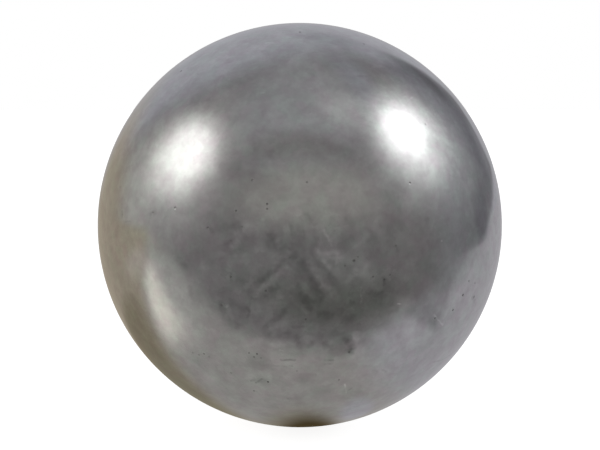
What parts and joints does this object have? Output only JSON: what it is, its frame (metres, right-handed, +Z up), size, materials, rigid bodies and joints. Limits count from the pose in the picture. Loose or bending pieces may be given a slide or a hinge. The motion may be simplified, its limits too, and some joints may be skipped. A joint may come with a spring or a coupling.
{
  "type": "steel ball",
  "caption": "Solid steel ball, ground and polished to a soft shine, with fine pits and smudges. It rolls freely and sits in a cup, cone, ring or track.",
  "frame": {"origin": "centre of the ball", "axes": "+Z up, as the ball stands in the picture; +X to the right and +Y away from the viewer. The ball is the same about every axis"},
  "size_m": [0.0254, 0.0254, 0.0254],
  "materials": {
    "polished_steel": "ground and polished bearing steel with a soft shine, fine pits, hairline scratches and wiped finger smudges"
  },
  "bodies": {
    "root": {"ball": "polished_steel"}
  },
  "joints": []
}
